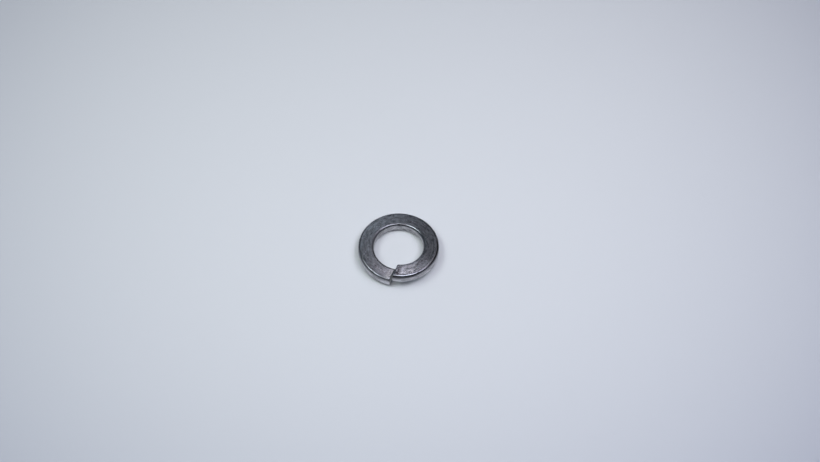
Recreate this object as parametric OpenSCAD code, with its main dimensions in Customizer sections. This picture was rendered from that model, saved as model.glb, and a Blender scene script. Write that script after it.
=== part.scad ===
// Helical spring lock washer: one turn of steel wire with a rounded rectangular section.
// It is cut through at the front, and the end on the right of the cut is the raised one.
// The axis of the bore is Z, the cut faces -Y, and the low end's bottom is at Z = 0.
// All sizes are in millimetres.

/* [Ring] */
// Diameter of the bore, a loose fit on a 10 mm bolt
bore_d = 10.3; // [8:0.1:13]
// Width of the wire, from the bore to the outer wall
wire_w = 3.2; // [2.2:0.1:4.4]
// Thickness of the wire, along the axis
wire_t = 2.2; // [1.8:0.1:3.6]
// Radius of the wire's four rounded edges
edge_r = 0.5; // [0.2:0.05:0.6]

/* [Ends] */
// How much higher the raised end stands than the low end
rise = 1.9; // [0.4:0.1:2.4]
// Share of the rise that is near the ends: 0 is an even helix, 1 leaves the back level
end_share = 1; // [0:0.1:1]
// Width of the gap between the ends, at the middle of the wire
gap_w = 0.45; // [0.2:0.05:0.9]
// Angle between the cut and a straight line out from the axis
cut_skew = 13; // [0:1:25]
// Length of the top edge that the shear rounded over at each end
roll_len = 0.3; // [0.1:0.05:0.5]
// Depth of the same rounded edge
roll_depth = 0.2; // [0.05:0.05:0.4]

/* [Hidden] */

inner_r = bore_d / 2;
outer_r = inner_r + wire_w;
middle_r = inner_r + wire_w / 2;

// The sweep's rounded edges pass the walls by this much, and the two rods below trim them
overshoot = edge_r / 25;
near_edge = inner_r - overshoot + edge_r;
far_edge = outer_r + overshoot - edge_r;
// Steps in each rounded edge, and degrees between the sweep's rings
arc_steps = 4;
ring_step = 4;
// How far the shapes that trim the wire reach past its top and bottom
spare = 1;

// Angles are measured around the axis from the front, clockwise from above
half_gap = asin(gap_w / 2 / middle_r);
degrees_per_mm = 180 / PI / middle_r;
first_angle = half_gap + skew_shift(near_edge);
last_angle = 360 - half_gap + skew_shift(far_edge);

// Turn of the skewed cut's line at one radius, compared with its middle
function skew_shift(r) = cut_skew - asin(middle_r * sin(cut_skew) / r);

// Height of the wire's underside at one angle, from 0 at the low end to the full rise
function height(angle) =
    let (v = 2 * (angle - first_angle) / (last_angle - first_angle) - 1)
    rise / 2 * (1 + (1 - end_share) * v + end_share * pow(v, 3));

// One rounded edge of the section, from its angle "from" through a quarter turn
function edge_arc(middle, from) =
    [for (i = [0:arc_steps]) let (a = from + 90 * i / arc_steps) middle + edge_r * [cos(a), sin(a)]];

// The section's outline as [radius, height] points, for a wire of thickness t
function section(t) =
    concat(
        edge_arc([far_edge, edge_r], -90),
        edge_arc([far_edge, t - edge_r], 0),
        edge_arc([near_edge, t - edge_r], 90),
        edge_arc([near_edge, edge_r], 180)
    );

// A section point moved to its place around the axis and up the helix
function swept(p, angle) =
    let (a = angle + skew_shift(p[0]))
    [-p[0] * sin(a), -p[0] * cos(a), p[1] + height(a)];

// Rings of the sweep as [angle, drop of the top]. The first ones shape a rolled edge, from a
// ring a little way past the cut, which trims it, and the last ones are their mirror image
cut_reach = min(gap_w, roll_len) / 4;
roll_places = [-cut_reach, 0.25 * roll_len, 0.6 * roll_len, roll_len];
end_rings = [
    for (place = roll_places)
        [half_gap + place * degrees_per_mm, roll_depth * pow(1 - place / roll_len, 2)]
];
body_start = half_gap + roll_len * degrees_per_mm;
body_turn = 360 - 2 * body_start;
body_count = ceil(body_turn / ring_step);
body_rings = [for (i = [1:body_count - 1]) [body_start + body_turn * i / body_count, 0]];
far_rings = [for (i = [len(end_rings) - 1:-1:0]) [360 - end_rings[i][0], end_rings[i][1]]];
rings = concat(end_rings, body_rings, far_rings);

side_count = 4 * (arc_steps + 1);
wire_points = [for (ring = rings, p = section(wire_t - ring[1])) swept(p, ring[0])];

// Two triangles between one side of a ring and the next ring
function side_faces(ring, side) =
    let (
        a = ring * side_count + side,
        b = ring * side_count + (side + 1) % side_count,
        c = a + side_count,
        d = b + side_count
    )
    [[a, c, b], [b, c, d]];

wire_sides = [
    for (ring = [0:len(rings) - 2], side = [0:side_count - 1], face = side_faces(ring, side))
        face
];
first_face = [for (i = [0:side_count - 1]) i];
last_face = [for (i = [side_count - 1:-1:0]) (len(rings) - 1) * side_count + i];

// The wire as a sweep along one turn, a little wider than the washer and a little longer
module wire() {
    polyhedron(points = wire_points, faces = concat([first_face], wire_sides, [last_face]));
}

// A point on one face of the cut, at a distance outward from the wire's middle
function cut_point(angle, out) =
    -[
        middle_r * sin(angle) + out * sin(angle + cut_skew),
        middle_r * cos(angle) + out * cos(angle + cut_skew)
    ];

// The cut between the ends, with both faces upright. It opens a little towards the outside
module cut() {
    translate([0, 0, -spare])
        linear_extrude(height = rise + wire_t + 2 * spare)
            polygon([
                cut_point(half_gap, -wire_w),
                cut_point(half_gap, wire_w),
                cut_point(-half_gap, wire_w),
                cut_point(-half_gap, -wire_w)
            ]);
}

// A straight round rod, longer than the washer is high
module rod(r) {
    translate([0, 0, -spare])
        cylinder(h = rise + wire_t + 2 * spare, r = r, $fn = 120);
}

// The wire cut to length, trimmed to its true outer wall and bored to its true hole
module washer() {
    color("dimgray")
        difference() {
            intersection() {
                difference() {
                    wire();
                    cut();
                }
                rod(outer_r);
            }
            rod(inner_r);
        }
}

washer();
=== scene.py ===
# %% [markdown]
# A spring lock washer is one short piece of steel wire, coiled once and sheared off. The wire has
# a rounded rectangular section, and the shear leaves its two ends at different heights, so that
# the ring works as a very stiff spring under a bolt's head. This lesson models the wire's section,
# spins it into the ring, lifts it into its helix, and then gives it the marks of drawing, coiling
# and shearing. The packed model is loaded first, because it gives the place and the overall size.

# %% Load the frame
import math

import bmesh
import bpy
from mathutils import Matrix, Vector


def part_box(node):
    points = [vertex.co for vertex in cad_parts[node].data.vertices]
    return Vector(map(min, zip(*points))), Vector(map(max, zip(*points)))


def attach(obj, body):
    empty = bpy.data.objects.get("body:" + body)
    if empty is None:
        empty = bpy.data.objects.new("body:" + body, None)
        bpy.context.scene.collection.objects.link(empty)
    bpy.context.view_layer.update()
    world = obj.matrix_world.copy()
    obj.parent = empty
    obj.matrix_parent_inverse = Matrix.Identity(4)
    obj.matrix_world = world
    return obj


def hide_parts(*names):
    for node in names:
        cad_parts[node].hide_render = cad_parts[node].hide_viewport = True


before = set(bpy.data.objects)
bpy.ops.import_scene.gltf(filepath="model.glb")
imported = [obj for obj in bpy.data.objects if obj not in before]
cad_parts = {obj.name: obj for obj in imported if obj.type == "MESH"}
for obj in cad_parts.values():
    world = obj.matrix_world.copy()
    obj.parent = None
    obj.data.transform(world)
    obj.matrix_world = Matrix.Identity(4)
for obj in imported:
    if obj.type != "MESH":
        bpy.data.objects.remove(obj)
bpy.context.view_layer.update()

mm = 0.001

# %% [markdown]
# The sizes are named once. The outer radius is read from the packed model, so that the ring always
# fits its box. The others are the sizes that a maker would ask for: the bore, the wire's thickness
# and its edge radius, how far the ends are sprung apart, the gap, and the slant of the cut.

# %% Sizes of the washer
outer_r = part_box("washer")[1].x
bore_r = 5.15 * mm
middle_r = (bore_r + outer_r) / 2
wire_w = outer_r - bore_r
wire_t = 2.2 * mm
edge_r = 0.5 * mm
rise = 1.9 * mm
gap_w = 0.45 * mm
cut_slant = math.radians(13)
print("wire", round(wire_w / mm, 2), "by", round(wire_t / mm, 2), "mm, rise", round(rise / mm, 2))

# %% [markdown]
# The cut slants across the wire, so a section that lies in the cut must reach a little further
# than a straight one to touch the two walls. Both reaches are measured along the cut from the
# wire's middle. The gap is turned into an angle there too, because the ring is made by turning.

# %% Reach of the slanted cut
half_gap = math.asin(gap_w / 2 / middle_r)


def reach_along_cut(radius):
    """Distance from the wire's middle to a wall, measured along the slanted cut."""
    side = middle_r * math.sin(cut_slant)
    return math.sqrt(radius ** 2 - side ** 2) - middle_r * math.cos(cut_slant)


to_bore = reach_along_cut(bore_r)
to_outside = reach_along_cut(outer_r)
print("width along the cut in mm:", round((to_outside - to_bore) / mm, 3))

# %% [markdown]
# The section is a plane standing upright where the low end is cut. It is turned by the cut's slant
# before it is spun, so that both ends of the ring come out slanted, as one stroke of a shear makes
# them. Its turn and scale are applied at once, because a bevel on a scaled object is stretched.

# %% Stand the wire's section at the low end
along_cut = half_gap + cut_slant
shift_out = (to_bore + to_outside) / 2
section_place = (
    -middle_r * math.sin(half_gap) - shift_out * math.sin(along_cut),
    -middle_r * math.cos(half_gap) - shift_out * math.cos(along_cut),
    wire_t / 2,
)
section_turn = (0, math.radians(90), -along_cut)
bpy.ops.object.select_all(action="DESELECT")
bpy.ops.mesh.primitive_plane_add(size=1, location=section_place, rotation=section_turn)
washer = bpy.context.object
washer.name = "lock_washer"
washer.data.name = "lock_washer"
washer.scale = (wire_t, to_outside - to_bore, 1)
bpy.ops.object.transform_apply(location=True, rotation=True, scale=True)
print("section's middle in mm:", [round(size / mm, 2) for size in section_place])

# %% [markdown]
# Drawn wire has rounded edges. They are easiest to round now, while each is only a corner of the
# section: the four corners are beveled as vertices, and the spin will draw them out into edges.

# %% Round the section's corners
edge_segments = 8
bpy.ops.object.mode_set(mode="EDIT")
bpy.ops.mesh.select_all(action="SELECT")
bpy.ops.mesh.bevel(offset=edge_r, segments=edge_segments, profile=0.5, affect="VERTICES")
print("section corners:", len(bmesh.from_edit_mesh(washer.data).verts))

# %% [markdown]
# The two flats and the two walls are cut into short lengths, because a long flat strip has no
# points that could carry a dent or a slight waviness. Subdividing both sides of the section at
# once also lays a grid across it, and this grid becomes the two end faces.

# %% Divide the flats and the walls
def select_edges(wanted):
    """Select only the edges for which wanted(edge) is true."""
    mesh = bmesh.from_edit_mesh(washer.data)
    mesh.select_mode = {"EDGE"}
    for edge in mesh.edges:
        edge.select_set(False)
    chosen = [edge for edge in mesh.edges if wanted(edge)]
    for edge in chosen:
        edge.select_set(True)
    mesh.select_flush_mode()
    bmesh.update_edit_mesh(washer.data)
    return len(chosen)


def is_long(edge):
    """True for the section's four straight sides, which are longer than a millimetre."""
    return edge.calc_length() > 1 * mm


def is_level(edge):
    """True for an edge whose two ends are at one height."""
    return abs(edge.verts[0].co.z - edge.verts[1].co.z) < 0.01 * mm


grid_step = 0.085 * mm
select_edges(lambda edge: is_long(edge) and is_level(edge))
bpy.ops.mesh.subdivide(number_cuts=round((wire_w - 2 * edge_r) / grid_step))
select_edges(is_long)
bpy.ops.mesh.subdivide(number_cuts=round((wire_t - 2 * edge_r) / grid_step))
print("section points:", len(bmesh.from_edit_mesh(washer.data).verts))

# %% [markdown]
# Coiling is one spin around the bore's axis, from the low end clockwise to the high end. The
# spin stops short of a full turn by the gap. It can leave doubled points and faces that are inside
# out, so the doubles are merged and the normals made consistent afterwards.

# %% Coil the wire
coil_steps = 480
coil_turn = 2 * math.pi - 2 * half_gap
same_place = 0.0005 * mm
bpy.ops.mesh.select_all(action="SELECT")
bpy.ops.mesh.spin(steps=coil_steps, angle=coil_turn, center=(0, 0, 0), axis=(0, 0, 1))
bpy.ops.mesh.select_all(action="SELECT")
bpy.ops.mesh.remove_doubles(threshold=same_place)
bpy.ops.mesh.normals_make_consistent(inside=False)
print("coil faces:", len(bmesh.from_edit_mesh(washer.data).faces))

# %% [markdown]
# A sheared edge is never knife sharp: the blade leaves a narrow broken edge all the way round the
# end face. The two outlines are found by the direction of the faces beside them. An end face looks
# along the wire, and every other face looks across it. A small bevel on these outlines also
# gives the light something to catch, where a perfect edge would show nothing.

# %% Break the edges of the two end faces
def looks_along_wire(face):
    """True for the faces that close the wire's two ends."""
    middle = face.calc_center_median()
    along = Vector((middle.y, -middle.x, 0)).normalized()
    return abs(face.normal.dot(along)) > 0.8


edge_break = 0.04 * mm
outline = select_edges(lambda edge: sum(looks_along_wire(face) for face in edge.link_faces) == 1)
bpy.ops.mesh.bevel(offset=edge_break, segments=2, profile=0.5, affect="EDGES")
bpy.ops.object.mode_set(mode="OBJECT")
print("outline edges broken:", outline, "points now:", len(washer.data.vertices))

# %% [markdown]
# So far the ring is flat. An even helix would be the simplest way to lift it, but a lock washer
# that has been sprung apart at its cut rises mostly near the two ends and is almost level at the
# back, so the lift follows a cubic curve. The curve starts at the flats' inner border at the low
# end and stops at their outer border at the high end, because the slant of the cut makes these two
# the places that are furthest apart around the axis.

# %% Shape of the helix
def turn_at_cut(radius):
    """How far around the axis the slanted cut has moved at one radius."""
    return cut_slant - math.asin(middle_r * math.sin(cut_slant) / radius)


first_turn = half_gap + turn_at_cut(bore_r + edge_r)
last_turn = 2 * math.pi - half_gap + turn_at_cut(outer_r - edge_r)


def lift(turn):
    """Height of the wire's underside at one turn around the axis."""
    even = 2 * (turn - first_turn) / (last_turn - first_turn) - 1
    return rise / 2 * (1 + even ** 3)


print("lift at the back in mm:", round(lift(math.pi) / mm, 2))

# %% [markdown]
# No operator makes this form, so each point is lifted in code by its place along the wire. The
# same loop rolls the top edge over at each end, where the shear dragged it down. It also keeps
# three facts on every point: where it was in the straight wire, how near it is to the middle of a
# rounded edge, and whether it is on a sheared face. The materials read these facts later, so that
# their marks run along the wire.

# %% Lift the coil into its helix
def clamp(value, low=0.0, high=1.0):
    """The nearest value that is neither below low nor above high."""
    return max(low, min(high, value))


roll_length = 0.3 * mm
roll_depth = 0.2 * mm
wire_length = coil_turn * middle_r
wire_place, rounded_edge, sheared_face = [], [], []
cut_ends = washer.vertex_groups.new(name="cut_ends")
for point in washer.data.vertices:
    x, y, up = point.co
    radius = math.hypot(x, y)
    slant = turn_at_cut(clamp(radius, bore_r, outer_r))
    plain_turn = (math.atan2(-x, -y) - slant) % (2 * math.pi)
    along = (plain_turn - half_gap) * middle_r
    to_end = min(along, wire_length - along)
    out = radius - middle_r
    over_side = abs(out) - (wire_w / 2 - edge_r)
    over_flat = abs(up - wire_t / 2) - (wire_t / 2 - edge_r)
    on_edge = over_side > 0 and over_flat > 0
    rounded_edge.append(math.sin(2 * math.atan2(over_side, over_flat)) if on_edge else 0.0)
    sheared_face.append(clamp(1 - to_end / edge_break))
    wire_place += [along, out, up]
    if to_end < 2 * edge_break:
        cut_ends.add([point.index], sheared_face[-1], "REPLACE")
    rolled = roll_depth * clamp(1 - to_end / roll_length) ** 2
    upper_share = clamp((up - edge_r) / (wire_t - 2 * edge_r))
    point.co.z = up - rolled * upper_share + lift(plain_turn + slant)
print("ring height in mm:", round(max(point.co.z for point in washer.data.vertices) / mm, 3))

# %% [markdown]
# The three facts are stored as attributes, one value on each point. An attribute stays with its
# point when the mesh is pushed about later, so the pattern moves with the steel.

# %% Keep the three facts on the points
def keep_on_points(name, kind, field, values):
    """Store one value per point on the washer's mesh, for a material to read."""
    store = washer.data.attributes.new(name, kind, "POINT")
    store.data.foreach_set(field, values)


keep_on_points("wire_place", "FLOAT_VECTOR", "vector", wire_place)
keep_on_points("rounded_edge", "FLOAT", "value", rounded_edge)
keep_on_points("sheared_face", "FLOAT", "value", sheared_face)
washer.data.update()
print("points on the sheared faces:", sum(value > 0 for value in sheared_face))

# %% [markdown]
# No drawn and coiled wire is perfectly flat. Three Displace modifiers with cloud textures make it
# a little uneven: a broad one, a few millimetres across, bends the reflections softly, and a fine
# one gives the scaly look of wire that was drawn through a die and hardened. The third is much
# stronger and works only on the two ends, where the steel tore as the shear's stroke ended. Their
# middle level is above a half, so that they lower the surface more than they raise it, and the
# washer stays inside its packed box. All three are applied, so that the mesh holds the final form.

# %% Make the faces slightly uneven
mostly_inward = 0.7


def roughen(name, grain_size, height, group=""):
    """Displace the washer's points by a cloud texture, and apply it at once."""
    clouds = bpy.data.textures.new(name, "CLOUDS")
    clouds.noise_scale = grain_size
    clouds.noise_depth = 2
    uneven = washer.modifiers.new(name, "DISPLACE")
    uneven.texture = clouds
    uneven.texture_coords = "LOCAL"
    uneven.strength = height
    uneven.mid_level = mostly_inward
    uneven.vertex_group = group
    bpy.ops.object.modifier_apply(modifier=name)
    print(name, "height in mm:", round(height / mm, 3))


roughen("rolling_waves", 2.2 * mm, 0.035 * mm)
roughen("drawn_scale", 0.45 * mm, 0.010 * mm)
roughen("torn_ends", 0.25 * mm, 0.07 * mm, "cut_ends")

# %% [markdown]
# A washer that lay loose in a box with hundreds of others has small nicks along its edges. Each
# nick is a shallow dent, longer along the wire than across it. A row of the list gives its turn
# around the axis, its place across the wire and up through it, its radius and its depth. The
# points inside it are pushed in along their normals, most at its middle.

# %% Nick the edges
nick_stretch = 1.6


def dent(turn_deg, out, up, size, depth):
    """Push the surface in around one place on the wire, and count the points that moved."""
    along = math.radians(turn_deg) * middle_r
    pushed = 0
    for point, place in zip(washer.data.vertices, washer.data.attributes["wire_place"].data):
        away = place.vector - Vector((along, out, up))
        away.x /= nick_stretch
        gap = away.length / size
        if gap < 1:
            point.co -= point.normal * depth * (1 - gap ** 2) ** 2
            pushed += 1
    return pushed


from_corner = 0.15 * mm
bore_edge = from_corner - wire_w / 2
outer_edge = wire_w / 2 - from_corner
top_edge = wire_t - from_corner
bottom_edge = from_corner
nicks = [
    (174, bore_edge, top_edge, 0.34 * mm, 0.06 * mm),
    (128, bore_edge, top_edge, 0.30 * mm, 0.035 * mm),
    (64, outer_edge, top_edge, 0.30 * mm, 0.045 * mm),
    (28, outer_edge, top_edge, 0.26 * mm, 0.035 * mm),
    (243, outer_edge, top_edge, 0.34 * mm, 0.045 * mm),
    (318, outer_edge, top_edge, 0.24 * mm, 0.03 * mm),
    (100, outer_edge, bottom_edge, 0.34 * mm, 0.045 * mm),
    (285, outer_edge, bottom_edge, 0.30 * mm, 0.04 * mm),
    (212, outer_edge, 0.9 * mm, 0.30 * mm, 0.03 * mm),
]
print("points moved by nicks:", sum(dent(*nick) for nick in nicks))
bpy.ops.object.shade_smooth()

# %% [markdown]
# The steel is one metal with several stories on it. Drawing through a die left fine lines along
# the wire, hardening left a mottled grey skin, handling scattered small bright flecks, and the
# shear left clean torn ends. On top of these, light and shade are painted into the colour in
# places. Each story is a few nodes that change the colour, the roughness or the height. Such a
# material has many small nodes, so a bench to lay them on comes first. It can feed an input, add
# a node, do a sum, stretch a value from one range to another, and mix two colours. The paper and
# the room are laid on such a bench too.

# %% A bench for nodes
class NodeBench:
    """Lays nodes in one tree. A value may be a number, a colour or another node's output."""

    def __init__(self, tree):
        self.tree = tree

    def feed(self, socket, value):
        """Link an input to an output, or set it to a plain value."""
        if isinstance(value, bpy.types.NodeSocket):
            self.tree.links.new(value, socket)
        else:
            socket.default_value = value

    def add(self, kind, label, **settings):
        """Add a node with a readable label and set its properties."""
        made = self.tree.nodes.new(kind)
        made.label = made.name = label
        for name, setting in settings.items():
            setattr(made, name, setting)
        return made

    def math(self, label, operation, *values):
        """Do one sum with up to three values."""
        made = self.add("ShaderNodeMath", label, operation=operation)
        for socket, value in zip(made.inputs, values):
            self.feed(socket, value)
        return made.outputs[0]

    def stretch(self, label, value, low, high, to_low=0.0, to_high=1.0):
        """Stretch a value so that low to high becomes to_low to to_high, and stop it there."""
        made = self.add("ShaderNodeMapRange", label)
        for socket, number in zip(made.inputs, (value, low, high, to_low, to_high)):
            self.feed(socket, number)
        return made.outputs["Result"]

    def mix(self, label, amount, first, second, blend="MIX"):
        """Mix two colours by an amount. A Mix node keeps colours on inputs 6 and 7 and output 2."""
        made = self.add("ShaderNodeMix", label, data_type="RGBA", blend_type=blend)
        factor, first_colour, second_colour = made.inputs[0], made.inputs[6], made.inputs[7]
        for socket, value in ((factor, amount), (first_colour, first), (second_colour, second)):
            self.feed(socket, value)
        return made.outputs[2]


print("the bench can:", [name for name in vars(NodeBench) if not name.startswith("_")])

# %% [markdown]
# The steel's own bench starts with an empty tree, so that every node in the material is one that
# is laid in the cells below.

# %% Begin the steel
steel_material = bpy.data.materials.new("drawn_spring_steel")
steel_material.use_nodes = True
steel_material.node_tree.nodes.clear()
steel = NodeBench(steel_material.node_tree)
print("made the material", steel_material.name)

# %% [markdown]
# A pattern laid in plain space would run straight across the ring. Real die lines turn with the
# wire, so every pattern here reads the place that was kept on each point, which is the point's
# place in the straight wire: X runs along it, Y outward across it and Z up through it. No seam
# can show, because the wire really does begin and end at the cut.

# %% The wire's own coordinates
def kept_on_points(name, output):
    """Read one of the facts that were kept on the washer's points."""
    return steel.add("ShaderNodeAttribute", name, attribute_name=name).outputs[output]


place_on_wire = kept_on_points("wire_place", "Vector")
place_parts = steel.add("ShaderNodeSeparateXYZ", "parts of the place")
steel.feed(place_parts.inputs["Vector"], place_on_wire)
along_wire, across_wire, up_wire = place_parts.outputs
above_middle = steel.math("height from the wire's middle", "SUBTRACT", up_wire, wire_t / 2)
print("length of the wire in mm:", round(wire_length / mm, 1))

# %% [markdown]
# A noise texture looks the same in all directions. With few grains along the wire and many
# across it, the same noise is drawn out into lines, as the die draws the steel out. Seven such
# noises, from broad blotches to grit a twentieth of a millimetre wide, give the skin something
# to show at every distance. The eighth is for the sheared ends, and its lines run up and down.

# %% Grain of the steel
def grain(label, along, across, up, detail, roughness=0.55):
    """Noise with so many grains in a millimetre along, across and up the straight wire."""
    scaled = steel.add("ShaderNodeMapping", label + " scale", vector_type="POINT")
    steel.feed(scaled.inputs["Vector"], place_on_wire)
    steel.feed(scaled.inputs["Scale"], (along / mm, across / mm, up / mm))
    noise = steel.add("ShaderNodeTexNoise", label)
    steel.feed(noise.inputs["Vector"], scaled.outputs["Vector"])
    for name, value in (("Scale", 1.0), ("Detail", detail), ("Roughness", roughness)):
        steel.feed(noise.inputs[name], value)
    return noise.outputs["Fac"]


blotches = grain("blotches", 0.6, 1.2, 1.2, 3)
streaks = grain("streaks", 0.9, 2.8, 2.8, 2)
hairlines = grain("hairlines", 0.3, 14, 14, 3)
spots = grain("spots", 3, 4.5, 4.5, 3)
speckle = grain("speckle", 5, 8, 8, 2)
grit = grain("grit", 9, 22, 22, 4, roughness=0.7)
die_lines = grain("die lines", 0.12, 26, 26, 2)
shear_lines = grain("shear lines", 2, 11, 0.9, 4, roughness=0.65)
print("nodes for the grain:", len(steel.tree.nodes))

# %% [markdown]
# A mark belongs to one part of the wire: a flat, a wall, a rounded edge or a sheared end. Masks
# say where each part is. A mask is 1 on its part and 0 elsewhere, with a soft border, and is made
# by stretching the wire's own coordinates. Two masks are multiplied to keep what they share.

# %% Masks for the parts of the wire
rounding = kept_on_points("rounded_edge", "Fac")
sheared = kept_on_points("sheared_face", "Fac")
from_middle = steel.math("distance from the middle", "ABSOLUTE", above_middle)
on_flat = steel.stretch("on a flat", from_middle, 0.6 * mm, 0.85 * mm)
off_flat = steel.math("off the flats", "SUBTRACT", 1.0, on_flat)
on_edge = steel.stretch("on a rounded edge", rounding, 0.0, 0.6)
upper_half = steel.stretch("on the upper half", above_middle, 0.0, 0.3 * mm)
top_edge_mask = steel.math("on a top edge", "MULTIPLY", on_edge, upper_half)
bottom_edge_mask = steel.math("on a bottom edge", "SUBTRACT", on_edge, top_edge_mask)
on_bore_side = steel.stretch("on the bore's side", across_wire, -0.95 * mm, -1.15 * mm)
on_outer_side = steel.stretch("on the outer side", across_wire, 0.95 * mm, 1.15 * mm)
low_end = steel.stretch("near the low end", along_wire, 1.4 * mm, 0.7 * mm)
high_end = steel.stretch(
    "near the high end", along_wire, wire_length - 1.5 * mm, wire_length - 0.7 * mm
)
print("nodes so far:", len(steel.tree.nodes))

# %% [markdown]
# The flats are painted lighter and darker in long slow stretches along the wire: painted light
# and shade that stands in for how the flats, tilted by the helix, mirror the lights.
# A color ramp holds these shades as stops from the low end to the high end, where a half is the
# skin's own colour, and an eased blend keeps the stops themselves from showing.

# %% Painted light and shade along the wire
shade_stops = [
    (0.0, 0.42), (0.1, 0.425), (0.25, 0.41), (0.38, 0.58), (0.52, 0.49),
    (0.64, 0.33), (0.78, 0.33), (0.86, 0.66), (0.92, 0.97), (1.0, 0.73),
]
shades = steel.add("ShaderNodeValToRGB", "temper shades")
share_of_wire = steel.stretch("share of the wire", along_wire, 0.0, wire_length)
steel.feed(shades.inputs["Fac"], share_of_wire)
ramp = shades.color_ramp
ramp.interpolation = "EASE"
while len(ramp.elements) < len(shade_stops):
    ramp.elements.new(0.5)
for element, (position, shade) in zip(ramp.elements, shade_stops):
    element.position = position
    element.color = (shade, shade, shade, 1)
# Painted light and shade: the ramp's shades, stretched from 0 to 2, lighten and darken the flats.
temper = steel.stretch("temper", shades.outputs["Color"], 0.0, 1.0, 0.0, 2.0)
print("temper shades:", len(shade_stops))

# %% [markdown]
# The base colours come before any pattern. A metal's base colour is what it reflects, so a grey
# skin is simply a weaker mirror. The flats carry the bluish skin with its painted light and shade.
# The outer wall is a lighter grey, and the bore's wall is painted a little darker, as painted shade
# inside the bore.

# %% Base colours of the skin
wall_steel = (0.43, 0.42, 0.44, 1)
# The bore's wall is painted darker: painted shade inside the bore.
bore_shaded_steel = (0.33, 0.325, 0.335, 1)
grey_skin = (0.365, 0.385, 0.43, 1)
bare_steel = (0.62, 0.62, 0.63, 1)
walls = steel.mix("walls", on_bore_side, wall_steel, bore_shaded_steel)
skin = steel.mix("skin", on_flat, walls, grey_skin)
# The flats' colour is multiplied by the painted light and shade along the wire.
tempered_skin = steel.mix("tempered skin", 1.0, skin, temper, "MULTIPLY")
skin = steel.mix("temper on the flats", on_flat, skin, tempered_skin)
print("bare steel reflects", bare_steel[1], "and the skin", grey_skin[1])

# %% [markdown]
# The grains now lighten and darken the skin. Each one is stretched to a small swing around zero,
# the swings are added up, and the sum plus one multiplies the colour. The rounded edges are worn
# smoother, so there the sum is weaker. Below each top edge the walls also get a painted dark band,
# a painted reflection of the dim side of the room, which is faint in the bore.

# %% Grain in the colour
swings = [
    ("blotches in the skin", blotches, 0.28),
    ("streaks in the skin", streaks, 0.52),
    ("hairlines in the skin", hairlines, 0.25),
    ("grit in the skin", grit, 0.2),
]
pattern = 0.0
for label, noise, swing in swings:
    strength = steel.stretch(label + " swing", noise, 0.3, 0.7, -swing, swing)
    pattern = steel.math(label, "ADD", strength, pattern)
edge_calm = steel.stretch("calm on the edges", on_edge, 0.0, 1.0, 1.0, 0.35)
lightness = steel.math("around one", "MULTIPLY_ADD", pattern, edge_calm, 1.0)
skin = steel.mix("patterned skin", 1.0, skin, lightness, "MULTIPLY")
# Painted dark band: a painted reflection of the dim room, darkest just below each top edge.
band_shade = steel.stretch("shade of the band", on_bore_side, 0.0, 1.0, 0.5, 0.9)
painted_dark_band = steel.stretch("painted dark band below a top edge", above_middle, 0.3 * mm, 0.7 * mm, 1.0, band_shade)
skin_with_painted_band = steel.mix("skin with the painted band", 1.0, skin, painted_dark_band, "MULTIPLY")
skin = steel.mix("painted band on the walls", off_flat, skin, skin_with_painted_band)
print("grains in the colour:", len(swings))

# %% [markdown]
# Small marks come on top: dark pits where scale was pressed in, bright flecks where the skin
# flaked off, and long scratches from grit in the die. The shear left a dark smear at the high end
# and chipped the low end bright. Each mark is a noise cut at a threshold, so that only its highest
# or its lowest places are left, and these are mixed into the skin by a strength or a mask.

# %% Pits, flecks, scratches, smear and chips
pits = steel.stretch("pits", spots, 0.40, 0.32)
flecks = steel.stretch("flecks", speckle, 0.60, 0.68)
scratches = steel.stretch("scratches", die_lines, 0.62, 0.7)
smear_noise = steel.stretch("smear noise", spots, 0.43, 0.5)
smear = steel.math("smear", "MULTIPLY", high_end, smear_noise)
chip_noise = steel.stretch("chip noise", speckle, 0.47, 0.57)
chips = steel.math("chips", "MULTIPLY", low_end, chip_noise)
marks = [
    ("pit", pits, 0.4, (0.17, 0.17, 0.19, 1)),
    ("fleck", flecks, 0.45, bare_steel),
    ("scratch", scratches, 0.3, bare_steel),
    ("smear", smear, on_flat, (0.05, 0.044, 0.056, 1)),
    ("chip", chips, on_flat, (0.85, 0.85, 0.86, 1)),
]
for name, mask, strength, mark_colour in marks:
    share = steel.math(name + " share", "MULTIPLY", mask, strength)
    skin = steel.mix(name + " on the skin", share, skin, mark_colour)
print("kinds of marks:", len(marks))

# %% [markdown]
# The coiling arbor scuffed one stretch of the bore's edges, which only makes them rougher. In a few
# other places the dark on the top edges is left out, so that the edges are painted lighter as
# painted
# highlights: one stretch of the bore's edge and the top rim on both arms. A helper makes the masks
# for such places: it is 1 near one place along the wire and fades out on both sides. Each row of
# the list gives a place along the wire, a reach, a side and a strength. The rim is the outer part
# of a rounded edge, where the light catches.

# %% Scuffed places and painted highlights
def near(label, place, reach):
    """1 within the reach of one place along the wire, and 0 from twice the reach on."""
    away = steel.math("place from the " + label, "SUBTRACT", along_wire, place)
    away = steel.math("distance from the " + label, "ABSOLUTE", away)
    return steel.stretch("near the " + label, away, 2 * reach, reach)


on_rim = steel.stretch("on the outer rim", across_wire, 1.22 * mm, 1.32 * mm)
inside_rim = steel.math("inside the outer rim", "SUBTRACT", on_outer_side, on_rim)
scuff = steel.math("arbor scuff", "MULTIPLY", on_bore_side, near("scuff", 12.5 * mm, 2.5 * mm))
# Each row is a painted highlight: the dark on the top edges is taken off there.
painted_highlights = [
    ("painted highlight at the bore", 26 * mm, 2 * mm, on_bore_side, 0.5),
    ("painted highlight on the low arm", 2.5 * mm, 1.3 * mm, on_rim, 0.65),
    ("painted highlight on the high arm", wire_length - 3.4 * mm, 2 * mm, on_rim, 0.08),
]
painted_highlight_share = 0.0
for label, place, reach, side, strength in painted_highlights:
    patch = steel.math(label + " on its side", "MULTIPLY", near(label, place, reach), side)
    painted_highlight_share = steel.math(label + " added", "MULTIPLY_ADD", patch, strength, painted_highlight_share)
print("painted highlights:", len(painted_highlights))
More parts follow.
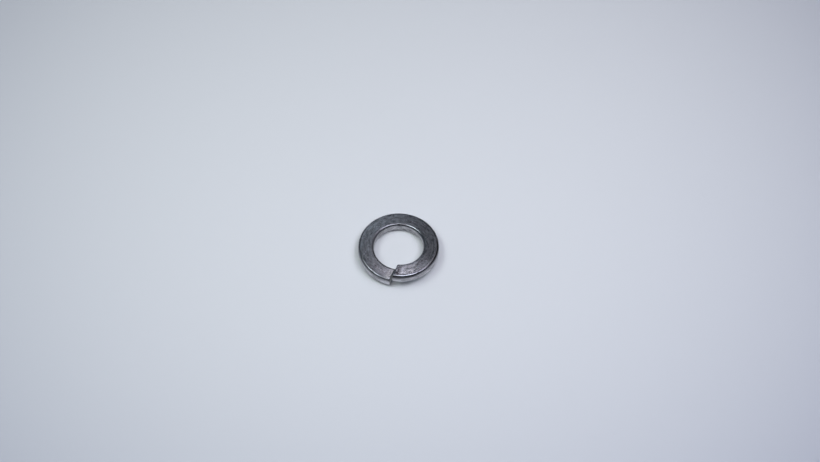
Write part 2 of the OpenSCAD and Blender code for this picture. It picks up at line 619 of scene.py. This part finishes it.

# %% [markdown]
# The four rounded edges have a finish of their own. The top edges are painted dark, a painted
# shade that dims their rims of light. It follows the darker painted shading along the wire but not
# the lighter, and is left out where highlights are painted. The bottom edges are painted lighter,
# towards bare steel, as painted light, apart from the back of the bore, where they are painted
# nearly black as painted shade.

# %% Painted light and shade on the rounded edges
# Painted shade darkens the top edges. Painted light lightens the bottom edges, and painted shade
# blackens them at the back of the bore.
painted_edge_shade = (0.2, 0.2, 0.215, 1)
soot = (0.08, 0.08, 0.09, 1)
edge_temper = steel.math("temper on the edges", "MINIMUM", temper, 1.0)
painted_dark_edge = steel.mix("painted dark edge", 1.0, painted_edge_shade, edge_temper, "MULTIPLY")
not_painted_highlight = steel.math("not painted highlight", "SUBTRACT", 1.0, painted_highlight_share)
painted_edge_share = steel.math("dark edge share", "MULTIPLY", top_edge_mask, not_painted_highlight)
skin = steel.mix("dark top edges", painted_edge_share, skin, painted_dark_edge)
sooty = steel.math("soot in the bore", "MULTIPLY", on_bore_side, near("soot", 19 * mm, 4 * mm))
painted_bottom_edge = steel.mix("painted bottom edge", sooty, bare_steel, soot)
painted_bottom_share = steel.stretch("bottom edge strength", sooty, 0.0, 1.0, 0.4, 0.7)
painted_bottom_share = steel.math("bottom edge share", "MULTIPLY", bottom_edge_mask, painted_bottom_share)
skin = steel.mix("bottom edges", painted_bottom_share, skin, painted_bottom_edge)
print("nodes so far:", len(steel.tree.nodes))

# %% [markdown]
# In a few places the flats are painted nearly black beside a rounded edge, a painted shade that
# covers part of the rim of light. They lie on the flats' side of the rounded edges, so the rim of
# light is thinner there. The list has the same columns as the painted highlights.

# %% Painted shade beside the rims
# Painted shade: nearly black on the flats' border, which hides part of each rim of light.
painted_rim_shade = (0.05, 0.05, 0.056, 1)
painted_rim_shades = [
    ("painted shade on the low arm", 3.6 * mm, 1.7 * mm, inside_rim, 0.5),
    ("painted shade on the high arm", wire_length - 3.2 * mm, 1.5 * mm, inside_rim, 0.9),
    ("painted shade at the bore", 14.5 * mm, 3 * mm, on_bore_side, 0.35),
]
for label, place, reach, side, strength in painted_rim_shades:
    rim_shade_share = steel.math(label + " on its side", "MULTIPLY", near(label, place, reach), side)
    rim_shade_share = steel.math(label + " on the flat", "MULTIPLY", rim_shade_share, on_flat)
    rim_shade_share = steel.math(label + " share", "MULTIPLY", rim_shade_share, strength)
    skin = steel.mix(label, rim_shade_share, skin, painted_rim_shade)
print("painted rim shades:", len(painted_rim_shades))

# %% [markdown]
# Near the high end a dark line is painted on the wall just under the rim: a painted reflection of
# the dim side of the room. Four masks are multiplied to hold it there. It goes on last of all, so
# that it covers whatever is below it.

# %% Painted dark line under the rim
# Painted reflection: a dark line on the wall under the rim near the high end.
painted_dark_line = (0.02, 0.016, 0.02, 1)
dark_line_reach = steel.stretch(
    "towards the high end", along_wire, wire_length - 6 * mm, wire_length - 3.5 * mm
)
under_rim = steel.stretch("under the rim", above_middle, 0.26 * mm, 0.38 * mm)
below_rounding = steel.stretch("below the rounding", above_middle, 0.98 * mm, 0.84 * mm)
painted_line_share = steel.math("painted line under the rim", "MULTIPLY", dark_line_reach, under_rim)
painted_line_share = steel.math("painted line below the rounding", "MULTIPLY", painted_line_share, below_rounding)
painted_line_share = steel.math("painted line on the outer side", "MULTIPLY", painted_line_share, on_outer_side)
painted_line_share = steel.math("painted line share", "MULTIPLY", painted_line_share, 0.75)
skin = steel.mix("painted line on the skin", painted_line_share, skin, painted_dark_line)
print("nodes so far:", len(steel.tree.nodes))

# %% [markdown]
# A sheared face has two zones. The blade burnishes the part it slides past, which comes out
# bright with lines in the direction of the stroke. Then the rest tears off at once and stays
# darker and coarse. The border between them wanders, so it is a height with noise added.

# %% Sheared ends
torn_dark = (0.17, 0.17, 0.18, 1)
torn_light = (0.36, 0.355, 0.35, 1)
burnished_steel = (0.52, 0.51, 0.50, 1)
tear_height = steel.math("height of the tear", "MULTIPLY_ADD", spots, 0.9 * mm, above_middle)
burnished = steel.stretch("burnished by the blade", tear_height, 0.45 * mm, 0.62 * mm)
torn_grain = steel.stretch("torn grain", spots, 0.35, 0.65)
end_face = steel.mix("torn steel", torn_grain, torn_dark, torn_light)
end_face = steel.mix("burnished steel", burnished, end_face, burnished_steel)
stroke = steel.stretch("lines of the stroke", shear_lines, 0.3, 0.7, 0.55, 1.45)
end_face = steel.mix("end face", 1.0, end_face, stroke, "MULTIPLY")
colour = steel.mix("colour", sheared, skin, end_face)
print("nodes for the colour:", len(steel.tree.nodes))

# %% [markdown]
# Roughness decides how sharply the steel mirrors the lights. Drawn steel is fairly smooth, the
# blotches and hairlines vary it a little, and the rounded edges are smoother still, which gives
# them their crisp rim of light. The scuff, the chips and the torn zone are duller.

# %% Roughness
roughness = steel.stretch("skin roughness", blotches, 0.35, 0.65, 0.37, 0.28)
roughness = steel.math("hairline gloss", "MULTIPLY_ADD", hairlines, -0.06, roughness)
edge_gloss = steel.math("edge gloss", "MULTIPLY_ADD", scuff, 0.27, -0.12)
roughness = steel.math("smooth edges", "MULTIPLY_ADD", on_edge, edge_gloss, roughness)
roughness = steel.math("rough chips", "MULTIPLY_ADD", chips, 0.1, roughness)
end_roughness = steel.math("rough tear", "MULTIPLY_ADD", burnished, -0.17, 0.24)
roughness = steel.math("rough ends", "MULTIPLY_ADD", sheared, end_roughness, roughness)
print("nodes with the roughness:", len(steel.tree.nodes))

# %% [markdown]
# The same grains also give a shallow relief, so that each mark catches the light where it
# colours the steel. A bump node is enough for heights of about a hundredth of a millimetre,
# which are far finer than the mesh. The edges keep a third of the relief, and the sheared faces
# add the lines of the stroke.

# %% Relief
relief_height = 0.012 * mm
reliefs = [
    ("streak relief", streaks, 0.8),
    ("spot relief", spots, 0.8),
    ("grit relief", grit, 0.25),
    ("scratch relief", scratches, -0.15),
    ("pit relief", pits, -0.3),
]
height = steel.math("hairline relief", "MULTIPLY", hairlines, 0.3)
for label, noise, strength in reliefs:
    height = steel.math(label, "MULTIPLY_ADD", noise, strength, height)
edge_relief = steel.stretch("edge relief", on_edge, 0.0, 1.0, 1.0, 0.3)
height = steel.math("calm relief on the edges", "MULTIPLY", height, edge_relief)
stroke_relief = steel.math("stroke relief", "MULTIPLY", shear_lines, sheared)
height = steel.math("relief on the ends", "MULTIPLY_ADD", stroke_relief, 1.6, height)
bump = steel.add("ShaderNodeBump", "relief")
steel.feed(bump.inputs["Distance"], relief_height)
steel.feed(bump.inputs["Height"], height)
print("grains in the relief:", len(reliefs) + 1)

# %% [markdown]
# One Principled shader takes all three results. It is fully metallic, set on its own socket,
# because bare and skinned steel both reflect light in the metal's colour and let none in.

# %% Put the steel on the washer
metal = steel.add("ShaderNodeBsdfPrincipled", "steel")
steel.feed(metal.inputs["Metallic"], 1.0)
steel.feed(metal.inputs["Base Color"], colour)
steel.feed(metal.inputs["Roughness"], roughness)
steel.feed(metal.inputs["Normal"], bump.outputs["Normal"])
surface = steel.add("ShaderNodeOutputMaterial", "surface")
steel.feed(surface.inputs["Surface"], metal.outputs["BSDF"])
washer.data.materials.append(steel_material)
print("nodes in the steel:", len(steel.tree.nodes))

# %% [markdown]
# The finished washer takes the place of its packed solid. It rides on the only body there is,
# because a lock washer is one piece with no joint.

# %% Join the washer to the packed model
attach(washer, "root")
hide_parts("washer")
print("faces of the washer:", len(washer.data.polygons))

# %% [markdown]
# At rest the washer doesn't lie flat. It leans on the bottom of its low end and on the back of
# the ring, four degrees from level. The model keeps the bore's axis upright, so here the floor
# leans instead: it passes through the same two places of contact.

# %% Floor
low_contact = Vector((0, -5.63, 0)) * mm
back_contact = Vector((0, 7.87, 0.95)) * mm
lean = math.atan2(back_contact.z - low_contact.z, back_contact.y - low_contact.y)
bpy.ops.mesh.primitive_plane_add(size=2, location=low_contact, rotation=(lean, 0, 0))
floor = bpy.context.object
floor.name = "floor"
print("floor leans by", round(math.degrees(lean), 2), "degrees")

# %% [markdown]
# The floor is pale matt paper. Paper under lamps is brightest in one place and fades away from
# it, and softboxes that are near enough to fade it so would show as hard shapes in the steel.
# So the lights stay further off, and the fade is painted into the paper's colour instead: painted
# light that goes gently from a pale grey to a darker, bluer one.

# %% Paper
pale_grey = (0.748, 0.758, 0.766, 1)
blue_grey = (0.503, 0.518, 0.573, 1)
brightest_place = (-7 * mm, 45 * mm, 0)
fade_reach = 120 * mm
paper_material = bpy.data.materials.new("pale_paper")
paper_material.use_nodes = True
paper = NodeBench(paper_material.node_tree)
place_on_floor = paper.add("ShaderNodeTexCoord", "place on the floor").outputs["Object"]
from_brightest = paper.add("ShaderNodeVectorMath", "from the brightest place", operation="DISTANCE")
paper.feed(from_brightest.inputs[0], place_on_floor)
paper.feed(from_brightest.inputs[1], brightest_place)
# Painted light: the paper is palest at the brightest place and darker and bluer away from it.
fade = paper.stretch("way out", from_brightest.outputs["Value"], 0.0, fade_reach)
fade = paper.math("fade", "POWER", fade, 2.7)
paper_colour = paper.mix("paper colour", fade, pale_grey, blue_grey)
paper_look = paper.tree.nodes["Principled BSDF"]
paper.feed(paper_look.inputs["Base Color"], paper_colour)
paper.feed(paper_look.inputs["Roughness"], 0.6)
floor.data.materials.append(paper_material)
print("nodes in the paper:", len(paper.tree.nodes))

# %% [markdown]
# The camera looks down steeply from the front and a little from the right. The view's own sideways
# and upward directions are worked out from its turn and its rise, so that the aim can be given
# along them.

# %% Directions of the view
view_turn = math.radians(8.8)
view_rise = math.radians(55.2)
to_camera = Vector((
    math.sin(view_turn) * math.cos(view_rise),
    -math.cos(view_turn) * math.cos(view_rise),
    math.sin(view_rise),
))
sideways = Vector((math.cos(view_turn), math.sin(view_turn), 0))
upwards = to_camera.cross(sideways)
print("direction to the camera:", [round(part, 2) for part in to_camera])

# %% [markdown]
# A fairly long lens, about a third of a metre away, keeps a small ring in true proportion. The
# camera aims past the washer, to the upper right, which leaves the washer just left of the
# picture's middle and below it.

# %% Camera
view_distance = 310.2 * mm
middle = Vector((0, 0, 1.9 * mm))
aim = middle + sideways * 2.4 * mm + upwards * 3.6 * mm
bpy.ops.object.camera_add(location=middle + to_camera * view_distance)
camera = bpy.context.object
camera.name = "camera"
camera.rotation_euler = (aim - camera.location).to_track_quat("-Z", "Y").to_euler()
camera.data.lens = 65.85
camera.data.sensor_width = 36
camera.data.clip_start = 1 * mm
scene = bpy.context.scene
scene.camera = camera
scene.view_settings.view_transform = "Standard"
print("camera at", [round(value / mm) for value in camera.location], "mm")

# %% [markdown]
# Steel shows what stands around it. The top of the washer mirrors the low part of the room
# behind it, so the room has a pale wall there, to the back left, that fades towards the ceiling.
# The opposite side is dim, which keeps the dark line under each rim. The world's shader makes
# both from the direction alone: how far a ray points towards the wall, and how high it points.

# %% Room
world = bpy.data.worlds.new("studio")
scene.world = world
world.use_nodes = True
room = NodeBench(world.node_tree)
wall_turn = math.radians(40)
direction = room.add("ShaderNodeTexCoord", "direction").outputs["Generated"]
towards_wall = room.add("ShaderNodeVectorMath", "towards the pale wall", operation="DOT_PRODUCT")
room.feed(towards_wall.inputs[0], direction)
room.feed(towards_wall.inputs[1], (-math.sin(wall_turn), math.cos(wall_turn), 0))
pale_side = room.math("pale wall", "MULTIPLY", towards_wall.outputs["Value"], 1.1)
dim_side = room.math("dim side", "MULTIPLY", towards_wall.outputs["Value"], -0.2)
both_sides = room.math("both sides", "MAXIMUM", pale_side, dim_side)
direction_parts = room.add("ShaderNodeSeparateXYZ", "parts of the direction")
room.feed(direction_parts.inputs["Vector"], direction)
fade_up = room.math("fade upwards", "MULTIPLY_ADD", direction_parts.outputs["Z"], -1.7, 1.0)
fade_up = room.math("no less than nothing", "MAXIMUM", fade_up, 0.0)
backdrop = room.tree.nodes["Background"]
room.feed(backdrop.inputs["Strength"], room.math("room light", "MULTIPLY", both_sides, fade_up))
room.feed(backdrop.inputs["Color"], (0.88, 1, 1.2, 1))
print("nodes in the room:", len(room.tree.nodes))

# %% [markdown]
# Seven softboxes hang around and above the washer at a quarter of a metre, all facing it. The
# two pairs on the left and right and the large one overhead light the paper evenly and draw the
# rims of light along the rounded edges, and two weak strips behind brighten the far rim. Their
# slight tints are those of lamps of different ages, and keep the greys from looking painted.

# %% Softboxes
light_distance = 250 * mm


def softbox(name, turn_deg, rise_deg, watts, size, colour):
    """Hang a square light that faces the washer. Turn 0 is behind it, and 90 is on its right."""
    turn, up = math.radians(turn_deg), math.radians(rise_deg)
    outward = Vector((math.sin(turn) * math.cos(up), math.cos(turn) * math.cos(up), math.sin(up)))
    bpy.ops.object.light_add(type="AREA", location=outward * light_distance)
    light = bpy.context.object
    light.name = name
    light.data.energy = watts
    light.data.size = size
    light.data.color = colour
    light.rotation_euler = (-outward).to_track_quat("-Z", "Y").to_euler()


softbox("right_softbox", 88, 63, 0.138, 0.10, (0.98, 0.98, 1.16))
softbox("right_front_softbox", 127, 66, 0.121, 0.10, (0.94, 1, 1.12))
softbox("left_softbox", -93, 60, 0.083, 0.09, (0.93, 1.02, 1.04))
softbox("left_front_softbox", -122, 60, 0.112, 0.10, (0.94, 1.02, 1.03))
softbox("ceiling_softbox", 180, 74, 0.162, 0.22, (0.97, 1, 1.08))
softbox("back_strip", 26, 60, 0.027, 0.08, (1.08, 1, 1.06))
softbox("back_left_strip", -30, 52, 0.011, 0.07, (0.88, 1, 1.1))
print("softboxes:", len(bpy.data.lights))

# %% [markdown]
# The modelled washer must stay inside the packed one.
